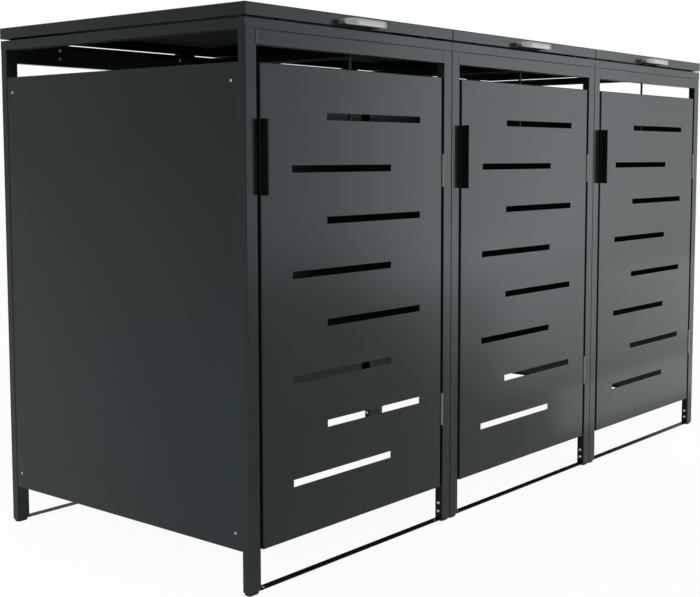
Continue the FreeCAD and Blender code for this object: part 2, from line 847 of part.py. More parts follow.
def lid_frame_leaves(offset):
    """Plates on the inside of the rear rails, with a tongue through the gap to the barrel."""
    found = []
    lefts = lid_hinge_lefts()
    for left, ear in zip(lefts, ("0", "lid_hinge_ear")):
        start = f"{offset} + {left}"
        bottom = "lid_bolt_middle - lid_bolt_pitch / 2 - lid_bolt_margin"
        plate = box("hinge_plate_blank",
                    ("lid_hinge_width + lid_hinge_ear", "lid_hinge_plate",
                     f"lid_axis_z - tongue_sheet / 2 - ({bottom})"),
                    (f"{start} - {ear}", "rear_post - lid_hinge_plate", bottom))
        tongue = box("hinge_tongue",
                     ("lid_hinge_width", "lid_axis_y - rear_post + lid_hinge_plate",
                      "tongue_sheet"),
                     (start, "rear_post - lid_hinge_plate", "lid_axis_z - tongue_sheet / 2"))
        at, length = lid_hinge_axis(start)
        barrel = cylinder("frame_barrel", "lid_knuckle_radius", length, at, "+x")
        side = "(lid_hinge_width - lid_hinge_finger) / 2"
        room = cylinder("frame_room", "lid_knuckle_radius + 3 * knuckle_gap",
                        "lid_hinge_finger + 2 * knuckle_gap",
                        (f"{start} + {side} - knuckle_gap", at[1], at[2]), "+x")
        bore = cylinder("frame_bore", "lid_pin_radius + pin_gap", f"{length} + 2",
                        (f"{start} - 1", at[1], at[2]), "+x")
        blank = fuse("lid_frame_leaf_blank", [plate, tongue, barrel])
        holes = drills("lid_bolt", lid_bolt_fixings(offset))
        found.append(cut("lid_frame_leaf", blank, [room, bore] + holes))
    return found


def lid_hinge_pins(offset):
    """The pins of one lid's hinges, with a flat head at each end."""
    found = []
    for left in lid_hinge_lefts():
        at, length = lid_hinge_axis(f"{offset} + {left}")
        rod = cylinder("lid_pin_rod", "lid_pin_radius", length, at, "+x")
        first = cylinder("lid_pin_end", "lid_knuckle_radius", "pin_head",
                         (f"{at[0]} - pin_head", at[1], at[2]), "+x")
        last = cylinder("lid_pin_end", "lid_knuckle_radius", "pin_head",
                        (f"{at[0]} + {length}", at[1], at[2]), "+x")
        found.append(fuse("lid_pin", [first, rod, last]))
    return found


def lid_leaves():
    """The leaves on the lid's rear edge, each with one knuckle in the middle of the barrel."""
    found = []
    for left in lid_hinge_lefts():
        at, length = lid_hinge_axis(left)
        face = "lid_back"
        start = "lid_axis_z + lid_knuckle_radius"
        plate = box("lid_leaf_plate", (length, "lid_leaf", f"lid_top - fold_radius - ({start})"),
                    (left, face, start))
        side = f"{left} + (lid_hinge_width - lid_hinge_finger) / 2"
        finger = box("lid_leaf_finger", ("lid_hinge_finger", "lid_leaf", "lid_knuckle_radius"),
                     (side, face, "lid_axis_z"))
        barrel = cylinder("lid_barrel", "lid_knuckle_radius", "lid_hinge_finger",
                          (side, at[1], at[2]), "+x")
        web = box("lid_leaf_web", ("lid_hinge_finger", "knuckle_gap + lid_knuckle_radius / 2",
                                   "lid_leaf"), (side, face, "lid_axis_z"))
        bore = cylinder("lid_leaf_bore", "lid_pin_radius + pin_gap", "lid_hinge_finger + 2",
                        (f"{side} - 1", at[1], at[2]), "+x")
        blank = fuse("lid_leaf_blank", [plate, finger, barrel, web])
        holes = drills("lid_leaf", lid_leaf_fixings())
        found.append(cut("lid_leaf", blank, [bore] + holes))
    return found


def lifter():
    """A rod that hangs from an eye under the lid and ends in a hook."""
    axis = ("lifter_x", "lifter_back", "lifter_axis_z")
    width = "lifter_eye_width"
    ring = cylinder("lifter_ring", "lifter_eye", width,
                    (f"lifter_x - {width} / 2", axis[1], axis[2]), "+x")
    low = "lifter_axis_z - lifter_length"
    rod = cylinder("lifter_rod", "lifter_radius",
                   "lifter_length - (lifter_eye + staple_pin) / 2", (axis[0], axis[1], low))
    bend = doc.addObject("Part::Torus", "lifter_bend")
    bind(bend, Radius1="lifter_hook", Radius2="lifter_radius")
    bend.Angle3 = 180
    put(bend, ("lifter_x - lifter_hook", axis[1], low), about("+x", -90))
    tip = cylinder("lifter_tip_rod", "lifter_radius", "lifter_tip",
                   ("lifter_x - 2 * lifter_hook", axis[1], low))
    end = doc.addObject("Part::Sphere", "lifter_tip_end")
    bind(end, Radius="lifter_radius")
    put(end, ("lifter_x - 2 * lifter_hook", axis[1], f"{low} + lifter_tip"))
    bore = cylinder("lifter_bore", "staple_pin + pin_gap", f"{width} + 2",
                    (f"lifter_x - {width} / 2 - 1", axis[1], axis[2]), "+x")
    return cut("lifter", fuse("lifter_blank", [ring, rod, bend, tip, end]), [bore])


def lifter_staple():
    """A bracket under the lid with two cheeks and the pin that carries the lifter."""
    under = "lid_top - lid_sheet"
    half = "lifter_radius + staple_gap"
    wide = f"2 * ({half} + staple_sheet)"
    start = f"lifter_x - ({half}) - staple_sheet"
    back = "lifter_back - staple_depth / 2"
    base = box("staple_base", (wide, "staple_depth", "staple_sheet"),
               (start, back, f"{under} - staple_sheet"))
    drop = "lifter_eye + staple_gap + 2 * staple_pin"
    cheeks = [
        box("staple_cheek", ("staple_sheet", "staple_depth / 2", drop),
            (place, "lifter_back - staple_depth / 4", f"{under} - staple_sheet - ({drop})"))
        for place in (start, f"lifter_x + {half}")
    ]
    pin = cylinder("staple_rivet", "staple_pin", f"{wide} + 2 * staple_sheet",
                   (f"{start} - staple_sheet", "lifter_back", "lifter_axis_z"), "+x")
    return fuse("staple", [base] + cheeks + [pin])


def build():
    """Makes every sub-part, in the order of the row's assembly."""
    front, rear, ring = frame_tubes()
    panel = back_panel()
    door = door_leaf()
    grip = door_grip()
    door_leaves = hinge_pieces("door")
    post_leaves = hinge_pieces("post")
    pins = hinge_pins()
    plate, magnet = catch()
    bow = bow_handle()
    leaves = lid_leaves()
    hook = lifter()
    staple = lifter_staple()
    door_screws = screws("door_screw", hinge_fixings("0", "door") + grip_fixings())
    lid_screws = screws("lid_screw", lid_leaf_fixings() + bow_fixings())
    lefts = [f"{module} * module_pitch" for module in range(MODULES)]

    for module in range(MODULES):
        number = module + 1
        node(f"front_frame_{number}", front, module)
        node(f"rear_frame_{number}", rear, module)
        node(f"top_ring_{number}", ring, module)
        node(f"back_panel_{number}", [panel], module)
        node(f"door_{number}", [door], module)
        node(f"door_grip_{number}", [grip], module)
        node(f"door_hinge_leaves_{number}", door_leaves, module)
        node(f"door_screws_{number}", door_screws, module)
        node(f"lid_{number}", [lid_pan(module)], module)
        node(f"lid_bow_{number}", [bow], module)
        node(f"lid_hinge_leaves_{number}", leaves, module)
        node(f"lid_screws_{number}", lid_screws, module)
        node(f"lifter_staple_{number}", [staple], module)
        node(f"lid_lifter_{number}", [hook], module)

    side = side_panel()
    hung = [
        ("left", "+x", "panel_inset", about("+z", -90), "rear_post - panel_gap"),
        ("right", "-x", "row_width - panel_inset", about("+z", 90), "post_depth + panel_gap"),
    ]
    side_fixings = []
    for name, axis, face, turn, back in hung:
        fixings = side_panel_fixings(face, axis)
        sheet_pan = placed(f"{name}_pan", side, (face, back, "panel_bottom"), turn)
        node(f"{name}_side_panel", [cut(f"{name}_pan_drilled", sheet_pan, drills(name, fixings))])
        side_fixings += fixings
    back_fixings = [fixing for left in lefts for fixing in back_panel_fixings(left)]
    node("panel_lugs", panel_lugs())
    node("panel_screws", screws("panel_screw", side_fixings + back_fixings, PANEL_SCREW))

    strips, tabs = ground_strips()
    node("feet", feet())
    node("ground_strips", strips)
    node("strip_tabs", tabs)

    def repeated(name, pieces):
        """Copies of one module's pieces in every module."""
        return [placed(name, piece, (left, "0", "0")) for left in lefts for piece in pieces]

    node("post_hinge_leaves", repeated("post_leaf_copy", post_leaves))
    node("door_hinge_pins", repeated("pin_copy", pins))
    node("door_catches", repeated("catch_copy", [plate]))
    node("catch_magnets", repeated("magnet_copy", [magnet]))
    node("lid_buffers", [item for left in lefts for item in lid_buffers(left)])
    node("lid_frame_leaves", [item for left in lefts for item in lid_frame_leaves(left)])
    node("lid_hinge_pins", [item for left in lefts for item in lid_hinge_pins(left)])
    bolts = [fixing for left in lefts for fixing in lid_bolt_fixings(left)]
    node("lid_hinge_bolts", screws("lid_bolt", bolts))

    node("join_plates", join_plates())
    in_posts = []
    for left in lefts:
        in_posts += strip_fixings(left) + hinge_fixings(left, "post") + catch_fixings(left)
    for left in lefts[1:]:
        in_posts += join_fixings(f"{left} - module_gap / 2")
    node("post_screws", screws("post_screw", in_posts))


def check():
    """Stops if any object failed, or a sub-part's shape is missing or not valid."""
    for item in doc.Objects:
        if {"Invalid", "Error"} & set(item.State):
            raise RuntimeError(f"{item.Label} was not built: {item.State}")
    for item in nodes:
        if item.Shape.isNull() or not item.Shape.isValid():
            raise RuntimeError(f"{item.Label} has no valid shape")


build()
doc.recompute()
check()
os.makedirs("parts", exist_ok=True)
for item in nodes:
    item.Shape.exportStep(f"parts/{item.Label}.step")
print(f"{len(nodes)} sub-parts written")
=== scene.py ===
import bpy
import numpy as np
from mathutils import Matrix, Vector


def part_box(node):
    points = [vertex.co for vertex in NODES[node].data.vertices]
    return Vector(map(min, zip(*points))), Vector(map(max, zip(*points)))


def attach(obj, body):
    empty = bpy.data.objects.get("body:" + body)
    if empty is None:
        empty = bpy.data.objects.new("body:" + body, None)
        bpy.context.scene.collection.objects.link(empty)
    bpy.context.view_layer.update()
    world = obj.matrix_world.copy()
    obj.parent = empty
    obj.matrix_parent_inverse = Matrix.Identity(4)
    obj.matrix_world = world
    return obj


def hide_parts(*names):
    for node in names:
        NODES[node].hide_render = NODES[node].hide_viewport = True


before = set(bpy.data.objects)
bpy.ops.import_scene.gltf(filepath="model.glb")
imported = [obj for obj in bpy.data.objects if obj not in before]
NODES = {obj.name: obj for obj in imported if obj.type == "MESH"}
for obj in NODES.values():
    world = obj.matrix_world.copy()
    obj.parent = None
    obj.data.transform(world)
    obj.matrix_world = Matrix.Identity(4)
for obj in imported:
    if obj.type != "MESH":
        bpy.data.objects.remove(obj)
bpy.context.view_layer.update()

# The looks of a row of three steel housings for wheelie bins. Lengths are metres in the row's own
# frame: X runs along the row, Y from the doors to the back and Z up from the ground.

MODULES = (1, 2, 3)

WHITE = (1.0, 1.0, 1.0, 1.0)


# Node trees


def add(tree, kind, inputs=None, **settings):
    """Puts a shader node into a tree, with its settings, and its inputs set or linked."""
    node = tree.nodes.new(kind)
    for name, setting in settings.items():
        setattr(node, name, setting)
    for name, given in (inputs or {}).items():
        if isinstance(given, bpy.types.NodeSocket):
            tree.links.new(given, node.inputs[name])
        else:
            node.inputs[name].default_value = given
    return node


def math(tree, operation, first, second=0.0, third=0.0):
    """One sum of a Math node."""
    node = add(tree, "ShaderNodeMath", {0: first, 1: second, 2: third}, operation=operation)
    return node.outputs[0]


def spread(tree, given, low, high, new_low=0.0, new_high=1.0):
    """Stretches a range of values onto another one, and cuts it off at both ends."""
    node = add(tree, "ShaderNodeMapRange", {"Value": given, "From Min": low, "From Max": high,
                                            "To Min": new_low, "To Max": new_high})
    return node.outputs["Result"]


def tinted(tree, factor, first, second):
    """A colour between two colours."""
    node = add(tree, "ShaderNodeMix", {"Factor": factor, 6: first, 7: second}, data_type="RGBA")
    return node.outputs[2]


def group(name, inputs, outputs):
    """An empty shader group with float inputs at their usual values, and float outputs."""
    tree = bpy.data.node_groups.new(name, "ShaderNodeTree")
    for label, usual in inputs.items():
        socket = tree.interface.new_socket(label, in_out="INPUT", socket_type="NodeSocketFloat")
        socket.default_value = usual
    for label in outputs:
        tree.interface.new_socket(label, in_out="OUTPUT", socket_type="NodeSocketFloat")
    return tree, tree.nodes.new("NodeGroupInput").outputs, tree.nodes.new("NodeGroupOutput").inputs


def use(tree, effect, **inputs):
    """Places a shader group in a material with its own values, and returns its outputs."""
    node = tree.nodes.new("ShaderNodeGroup")
    node.node_tree = effect
    for label, given in inputs.items():
        node.inputs[label].default_value = given
    return node.outputs


def powder_grain():
    """Powder coat: a fine pebbled skin over slow waves, and cloudy patches of tone."""
    tree, given, out = group("powder_grain", {"Grain": 700.0, "Patch": 5.0}, ("Skin", "Cloud"))
    place = add(tree, "ShaderNodeTexCoord").outputs["Object"]
    fine = add(tree, "ShaderNodeTexNoise",
               {"Vector": place, "Scale": given["Grain"], "Detail": 2.0, "Roughness": 0.5})
    flow = add(tree, "ShaderNodeTexNoise",
               {"Vector": place, "Scale": math(tree, "MULTIPLY", given["Grain"], 0.22),
                "Detail": 1.0})
    pebbles = math(tree, "MULTIPLY", fine.outputs["Fac"], 0.6)
    tree.links.new(math(tree, "MULTIPLY_ADD", flow.outputs["Fac"], 0.4, pebbles), out["Skin"])
    patches = add(tree, "ShaderNodeTexNoise",
                  {"Vector": place, "Scale": given["Patch"], "Detail": 3.0, "Roughness": 0.6})
    tree.links.new(spread(tree, patches.outputs["Fac"], 0.3, 0.7), out["Cloud"])
    return tree


def sheet_waves():
    """Thin sheet is never quite flat: long soft swells, in metres of height."""
    tree, given, out = group("sheet_waves", {"Swell": 2.4}, ("Height",))
    place = add(tree, "ShaderNodeTexCoord").outputs["Object"]
    swell = add(tree, "ShaderNodeTexNoise",
                {"Vector": place, "Scale": given["Swell"], "Detail": 0.0})
    tree.links.new(swell.outputs["Fac"], out["Height"])
    return tree


def ground_dust():
    """Dust that settles low down: a mask that fades with height and breaks up in specks."""
    tree, given, out = group("ground_dust", {"Reach": 0.12}, ("Dust",))
    place = add(tree, "ShaderNodeTexCoord").outputs["Object"]
    height = add(tree, "ShaderNodeSeparateXYZ", {"Vector": place}).outputs["Z"]
    share = math(tree, "DIVIDE", height, given["Reach"])
    low = spread(tree, share, 0.0, 1.0, 1.0, 0.0)
    specks = add(tree, "ShaderNodeTexNoise",
                 {"Vector": place, "Scale": 160.0, "Detail": 4.0, "Roughness": 0.7})
    broken = spread(tree, specks.outputs["Fac"], 0.42, 0.62)
    tree.links.new(math(tree, "MULTIPLY", low, broken), out["Dust"])
    return tree


def painted_shade_within():
    """Marks where shade is painted inside a folded sheet: below a level and at least a wall's
    thickness in from all four sides of a rectangle. There the coat's colour is painted darker as
    shade, and the coat is dull."""
    tree, given, out = group("painted_shade_within", {"Left": 0.0, "Right": 1.0, "Front": 0.0, "Back": 1.0,
                                           "Level": 1.0}, ("Inside",))
    place = add(tree, "ShaderNodeTexCoord").outputs["Object"]
    at = add(tree, "ShaderNodeSeparateXYZ", {"Vector": place}).outputs
    tests = [math(tree, "GREATER_THAN", at["X"], given["Left"]),
             math(tree, "LESS_THAN", at["X"], given["Right"]),
             math(tree, "GREATER_THAN", at["Y"], given["Front"]),
             math(tree, "LESS_THAN", at["Y"], given["Back"]),
             math(tree, "LESS_THAN", at["Z"], given["Level"])]
    inside = tests[0]
    for test in tests[1:]:
        inside = math(tree, "MULTIPLY", inside, test)
    tree.links.new(inside, out["Inside"])
    return tree


def brushed_lines():
    """Fine lines left by brushing along X, as a height and as a streak of tone."""
    tree, given, out = group("brushed_lines", {"Lines": 2500.0}, ("Height", "Streak"))
    place = add(tree, "ShaderNodeTexCoord").outputs["Object"]
    drawn = add(tree, "ShaderNodeMapping", {"Vector": place, "Scale": (0.02, 1.0, 1.0)})
    lines = add(tree, "ShaderNodeTexNoise",
                {"Vector": drawn.outputs[0], "Scale": given["Lines"], "Detail": 3.0,
                 "Roughness": 0.6})
    tree.links.new(lines.outputs["Fac"], out["Height"])
    wide = add(tree, "ShaderNodeTexNoise",
               {"Vector": drawn.outputs[0], "Scale": math(tree, "MULTIPLY", given["Lines"], 0.2),
                "Detail": 2.0})
    tree.links.new(spread(tree, wide.outputs["Fac"], 0.3, 0.7), out["Streak"])
    return tree


def zinc_flowers():
    """The crystal patches of zinc plating, and its fine bite."""
    tree, given, out = group("zinc_flowers", {"Flowers": 260.0}, ("Patch", "Height"))
    place = add(tree, "ShaderNodeTexCoord").outputs["Object"]
    cells = add(tree, "ShaderNodeTexVoronoi", {"Vector": place, "Scale": given["Flowers"]})
    tone = add(tree, "ShaderNodeSeparateColor", {"Color": cells.outputs["Color"]}).outputs[0]
    tree.links.new(tone, out["Patch"])
    bite = add(tree, "ShaderNodeTexNoise",
               {"Vector": place, "Scale": 1800.0, "Detail": 3.0})
    tree.links.new(bite.outputs["Fac"], out["Height"])
    return tree


def moulded_grain():
    """The leathery grain of a plastic or rubber mould."""
    tree, given, out = group("moulded_grain", {"Grain": 900.0}, ("Height", "Scuff"))
    place = add(tree, "ShaderNodeTexCoord").outputs["Object"]
    cells = add(tree, "ShaderNodeTexVoronoi",
                {"Vector": place, "Scale": given["Grain"]}, feature="SMOOTH_F1")
    tree.links.new(cells.outputs["Distance"], out["Height"])
    rubbed = add(tree, "ShaderNodeTexNoise",
                 {"Vector": place, "Scale": 90.0, "Detail": 5.0, "Roughness": 0.7})
    tree.links.new(spread(tree, rubbed.outputs["Fac"], 0.45, 0.75), out["Scuff"])
    return tree


POWDER = powder_grain()
WAVES = sheet_waves()
DUST = ground_dust()
PAINTED_SHADE_WITHIN = painted_shade_within()
BRUSHED = brushed_lines()
ZINC = zinc_flowers()
MOULDED = moulded_grain()


# Materials


def material(name):
    """A new material, its node tree and its Principled shader."""
    made = bpy.data.materials.new(name)
    made.use_nodes = True
    tree = made.node_tree
    return made, tree, tree.nodes["Principled BSDF"]


PEBBLE_HEIGHT = 0.00006
DUST_COVER = 0.3
DUST_DULLS = 0.15
# How much darker the painted shade inside a folded sheet makes the deep coat tone.
INSIDE_PAINTED_SHADE = 0.9
INSIDE_DULLS = 0.6


def coated(name, deep, light, gloss, specular, wave, dust_tint, sheen=WHITE, inside=None):
    """Powder-coated steel: two near tones in clouds, pebbled skin, sheet swells and low dust. A
    folded sheet's inside, given as its sides and level, is duller and has painted shade: its colour
    is made darker there."""
    made, tree, shader = material(name)
    grain = use(tree, POWDER)
    dust = use(tree, DUST)["Dust"]
    tone = tinted(tree, grain["Cloud"], deep, light)
    settled = math(tree, "MULTIPLY", dust, DUST_COVER)
    tone = tinted(tree, settled, tone, dust_tint)
    rough = spread(tree, grain["Cloud"], 0.0, 1.0, gloss - 0.015, gloss + 0.02)
    rough = math(tree, "MULTIPLY_ADD", dust, DUST_DULLS, rough)
    if inside:
        painted_shade_and_dull = use(tree, PAINTED_SHADE_WITHIN, **inside)["Inside"]
        # Painted shade: inside the sheet the colour is the deep coat tone made darker.
        painted_shade_tone = tuple(INSIDE_PAINTED_SHADE * part for part in deep[:3]) + (1.0,)
        tone = tinted(tree, painted_shade_and_dull, tone, painted_shade_tone)
        rough = math(tree, "MULTIPLY_ADD", painted_shade_and_dull, INSIDE_DULLS, rough)
    tree.links.new(tone, shader.inputs["Base Color"])
    tree.links.new(rough, shader.inputs["Roughness"])
    shader.inputs["Specular IOR Level"].default_value = specular
    shader.inputs["Specular Tint"].default_value = sheen
    skin = add(tree, "ShaderNodeBump", {"Height": grain["Skin"], "Strength": 0.35,
                                        "Distance": PEBBLE_HEIGHT})
    swell = add(tree, "ShaderNodeBump",
                {"Height": use(tree, WAVES)["Height"], "Strength": 1.0, "Distance": wave,
                 "Normal": skin.outputs["Normal"]})
    tree.links.new(swell.outputs["Normal"], shader.inputs["Normal"])
    return made


def plated(name, dark, bright, gloss):
    """Zinc-plated steel with its crystal patches."""
    made, tree, shader = material(name)
    zinc = use(tree, ZINC)
    tree.links.new(tinted(tree, zinc["Patch"], dark, bright), shader.inputs["Base Color"])
    shader.inputs["Metallic"].default_value = 1.0
    tree.links.new(spread(tree, zinc["Patch"], 0.0, 1.0, gloss, gloss + 0.12),
                   shader.inputs["Roughness"])
    bump = add(tree, "ShaderNodeBump", {"Height": zinc["Height"], "Strength": 0.3,
                                        "Distance": 0.00003})
    tree.links.new(bump.outputs["Normal"], shader.inputs["Normal"])
    return made


def brushed(name, dark, bright, gloss):
    """Satin steel, brushed along X."""
    made, tree, shader = material(name)
    lines = use(tree, BRUSHED)
    tree.links.new(tinted(tree, lines["Streak"], dark, bright), shader.inputs["Base Color"])
    shader.inputs["Metallic"].default_value = 0.8
    tree.links.new(spread(tree, lines["Streak"], 0.0, 1.0, gloss - 0.04, gloss + 0.06),
                   shader.inputs["Roughness"])
    bump = add(tree, "ShaderNodeBump", {"Height": lines["Height"], "Strength": 0.25,
                                        "Distance": 0.00002})
    tree.links.new(bump.outputs["Normal"], shader.inputs["Normal"])
    return made


def moulded(name, deep, worn, gloss):
    """Moulded plastic or rubber with a grain and pale scuffs."""
    made, tree, shader = material(name)
    grain = use(tree, MOULDED)
    tree.links.new(tinted(tree, grain["Scuff"], deep, worn), shader.inputs["Base Color"])
    tree.links.new(spread(tree, grain["Scuff"], 0.0, 1.0, gloss, gloss + 0.1),
                   shader.inputs["Roughness"])
    shader.inputs["Specular IOR Level"].default_value = 0.2
    bump = add(tree, "ShaderNodeBump", {"Height": grain["Height"], "Strength": 0.3,
                                        "Distance": 0.00008})
    tree.links.new(bump.outputs["Normal"], shader.inputs["Normal"])
    return made


# The coat is satin. Most of its tone is mirrored light, so its own colour is darker than it looks.

DUST_TINT = (0.020, 0.021, 0.020, 1.0)
COAT_DEEP = (0.0070, 0.0114, 0.0116, 1.0)
COAT_LIGHT = (0.0084, 0.0134, 0.0138, 1.0)
COOL_SHEEN = (0.84, 0.99, 1.0, 1.0)
COAT_GLOSS = 0.20
COAT_SPECULAR = 0.20
COAT_SWELL = 0.0005


def anthracite(name, inside=None):
    """The satin anthracite coat of frames, panels, doors and lids."""
    return coated(name, COAT_DEEP, COAT_LIGHT, COAT_GLOSS, COAT_SPECULAR, COAT_SWELL, DUST_TINT,
                  COOL_SHEEN, inside)


FINISHES = {
    "coat": anthracite("anthracite_coat"),
    "black_coat": coated("black_coat", (0.0045, 0.0052, 0.0052, 1), (0.0060, 0.0068, 0.0068, 1),
                         0.34, 0.16, 0.0001, DUST_TINT),
    "strip_coat": coated("strip_coat", (0.0034, 0.0038, 0.0040, 1), (0.0044, 0.0050, 0.0051, 1),
                         0.36, 0.10, 0.0001, (0.010, 0.010, 0.010, 1.0)),
    "zinc": plated("zinc_plate", (0.42, 0.43, 0.44, 1), (0.60, 0.61, 0.62, 1), 0.28),
    "satin_steel": brushed("satin_nickel", (0.31, 0.31, 0.305, 1), (0.38, 0.38, 0.375, 1), 0.46),
    "hinge_steel": plated("hinge_steel", (0.125, 0.115, 0.105, 1), (0.195, 0.182, 0.168, 1), 0.42),
    "lifter_steel": coated("lifter_coat", (0.008, 0.011, 0.011, 1), (0.010, 0.014, 0.014, 1),
                           0.30, 0.20, 0.0, DUST_TINT),
    "foot_plastic": moulded("foot_plastic", (0.006, 0.006, 0.006, 1), (0.014, 0.014, 0.014, 1),
                            0.34),
    "buffer_rubber": moulded("buffer_rubber", (0.012, 0.012, 0.012, 1),
                             (0.030, 0.030, 0.030, 1), 0.65),
    "magnet": moulded("magnet_ferrite", (0.022, 0.021, 0.021, 1), (0.05, 0.048, 0.047, 1), 0.4),
}


# Surfaces


SHARP_ANGLE = 0.6


def piece(name, points, faces, slot, body):
    """A mesh piece from an array of points and arrays of faces, smooth up to an angle."""
    mesh = bpy.data.meshes.new(name)
    corners = [row for array in faces for row in array.tolist()]
    mesh.from_pydata(points.reshape(-1, 3).tolist(), [], corners)
    mesh.validate()
    mesh.materials.append(FINISHES[slot])
    made = bpy.data.objects.new(name, mesh)
    bpy.context.scene.collection.objects.link(made)
    mesh.shade_smooth()
    mesh.set_sharp_from_angle(angle=SHARP_ANGLE)
    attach(made, body)
    return made


def shell(grid):
    """Closes a grid of points into a solid skin. Rows follow its length and columns run round it
    without a seam; the first and the last row are each drawn together into one point at their
    middle. Gives the points and the faces, for one grid of shape (rows, columns, 3)."""
    rows, columns, _ = grid.shape
    ends = np.stack([grid[0].mean(axis=0), grid[-1].mean(axis=0)])
    points = np.concatenate([grid.reshape(-1, 3), ends])
    index = np.arange(rows * columns).reshape(rows, columns)
    turned = np.roll(index, -1, axis=1)
    quads = np.stack([index[:-1], turned[:-1], turned[1:], index[1:]], axis=-1).reshape(-1, 4)
    first = np.full(columns, rows * columns)
    near = np.stack([first, turned[0], index[0]], axis=-1)
    far = np.stack([first + 1, index[-1], turned[-1]], axis=-1)
    return points, quads, np.concatenate([near, far])


def copied(points, faces, places):
    """Many copies of a skin at once: each place is a rotation matrix and a shift. Every point is
    turned and shifted for every place in one product, and the faces count on per copy."""
    turns = np.array([turn for turn, _ in places])
    shifts = np.array([shift for _, shift in places])
    everywhere = np.einsum("nij,pj->npi", turns, points) + shifts[:, None, :]
    count = np.arange(len(places))[:, None, None] * len(points)
    return everywhere.reshape(-1, 3), [(part[None] + count).reshape(-1, part.shape[1])
                                       for part in faces]


def joined(skins):
    """One skin made of several that have the same number of points: their points in one array, and
    their faces counted on from one to the next."""
    count = len(skins[0][0])
    points = np.concatenate([skin[0] for skin in skins])
    faces = [np.concatenate([skin[part] + number * count for number, skin in enumerate(skins)])
             for part in (1, 2)]
    return points, faces


def lathe(profile, sides, lobes=None):
    """A profile of (radius, height) turned about Z. The radius of each row may swell and shrink
    with the angle: radius times (1 + depth cos(6 angle)), where lobes gives each row's depth."""
    angle = np.linspace(0, 2 * np.pi, sides, endpoint=False)
    radius, height = np.array(profile, float).T
    depth = np.zeros(len(radius)) if lobes is None else np.array(lobes, float)
    reach = radius[:, None] * (1 + depth[:, None] * np.cos(6 * angle)[None, :])
    return np.stack([reach * np.cos(angle), reach * np.sin(angle),
                     np.repeat(height[:, None], sides, axis=1)], axis=-1)


def crowned_section(across, along, fullness, steps=28):
    """An outline between an ellipse and a rectangle, as (across, along) points around it: the
    share of half the size is |cos| or |sin| of the angle to the power of fullness, with its sign,
    so that 1 is an ellipse and 0 a rectangle."""
    angle = np.linspace(0, 2 * np.pi, steps, endpoint=False)
    round_part = np.stack([np.cos(angle), np.sin(angle)], axis=-1)
    return np.sign(round_part) * np.abs(round_part) ** fullness * (across / 2, along / 2)


def swept(path, section, up):
    """Carries a section along a path: at each path point the section's first number goes sideways,
    square to the path and to the up direction, and its second number goes along up."""
    ahead = np.gradient(path, axis=0)
    ahead /= np.linalg.norm(ahead, axis=1, keepdims=True)
    upward = np.array(up, float) - ahead * (ahead @ np.array(up, float))[:, None]
    upward /= np.linalg.norm(upward, axis=1, keepdims=True)
    side = np.cross(ahead, upward)
    return (path[:, None, :] + side[:, None, :] * section[None, :, :1]
            + upward[:, None, :] * section[None, :, 1:])


def islands(node):
    """The separate solids of a CAD node, as arrays of their points. Points at one place share a
    number; every triangle then hands its lowest number to its corners until nothing changes."""
    mesh = NODES[node].data
    points = np.empty(len(mesh.vertices) * 3)
    mesh.vertices.foreach_get("co", points)
    points = points.reshape(-1, 3)
    corners = np.empty(len(mesh.polygons) * 3, np.int64)
    mesh.polygons.foreach_get("vertices", corners)
    _, place = np.unique(np.round(points, 6), axis=0, return_inverse=True)
    triangles = place.reshape(-1)[corners].reshape(-1, 3)
    label = np.arange(place.max() + 1)
    while True:
        before = label.copy()
        lowest = label[triangles].min(axis=1)
        for corner in range(3):
            np.minimum.at(label, triangles[:, corner], lowest)
        label = label[label]
        if (label == before).all():
            break
    mine = label[place.reshape(-1)]
    return [points[mine == number] for number in np.unique(mine)]


def turned_to(direction):
    """The rotation matrix that points Z along a direction."""
    return np.array(Vector((0, 0, 1)).rotation_difference(Vector(direction)).to_matrix())


def screw_places(node):
    """Where each screw of a CAD node sits: under its head, with its shank along a direction."""
    found = []
    for points in islands(node):
        low, high = points.min(axis=0), points.max(axis=0)
        middle = (low + high) / 2
        axis = int(np.argmax(high - low))
        off = points - middle
        off[:, axis] = 0
        wide = np.linalg.norm(off, axis=1)
        head = points[wide > 0.9 * wide.max(), axis]
        sign = 1.0 if head.mean() < middle[axis] else -1.0
        direction = np.zeros(3)
        direction[axis] = sign
        under = middle.copy()
        under[axis] = head.max() if sign > 0 else head.min()
        found.append((turned_to(direction), under))
    return found


# Screws and pins

SCREW_HEAD = 0.004
PANEL_SCREW_HEAD = 0.003
HEAD_HEIGHT = 0.0015
SCREW_SHANK = 0.002
SCREW_LENGTH = 0.010


def screw_skin(radius, thickness, shank, length):
    """A pan-head screw with a six-lobed socket, turned about Z with its shank upwards: from the
    socket's floor up its wall, over the crown, down the rim, under the head, and along the shank
    to its point."""
    socket = radius * 0.42
    deep = thickness * 0.62
    crown = np.linspace(0, np.pi / 2, 5)
    dome = [(radius * (0.62 + 0.38 * np.sin(turn)), -thickness * (0.25 + 0.75 * np.cos(turn)))
            for turn in crown]
    profile = [(socket * 0.3, -thickness + deep), (socket * 0.97, -thickness + deep),
               (socket, -thickness + deep * 0.15), (socket * 1.12, -thickness * 0.995)]
    lobes = [0.0, 0.16, 0.16, 0.08]
    profile += dome + [(radius, -0.00002), (radius * 0.97, 0.0), (shank, 0.0),
                       (shank, length - shank * 0.6), (shank * 0.5, length)]
    lobes += [0.0] * (len(profile) - len(lobes))
    return lathe(profile, 30, lobes)


def screws(name, node, body, radius=SCREW_HEAD):
    """One piece for all the zinc-plated screws of a CAD node, which it replaces."""
    points, quads, ends = shell(screw_skin(radius, HEAD_HEIGHT, SCREW_SHANK, SCREW_LENGTH))
    made = piece(name, *copied(points, [quads, ends], screw_places(node)), "zinc", body)
    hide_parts(node)


def pin_places(node):
    """Where each pin of a CAD node starts, and the way it runs."""
    found = []
    for points in islands(node):
        low, high = points.min(axis=0), points.max(axis=0)
        axis = int(np.argmax(high - low))
        direction = np.zeros(3)
        direction[axis] = 1.0
        start = (low + high) / 2
        start[axis] = low[axis]
        found.append((turned_to(direction), start))
    return found


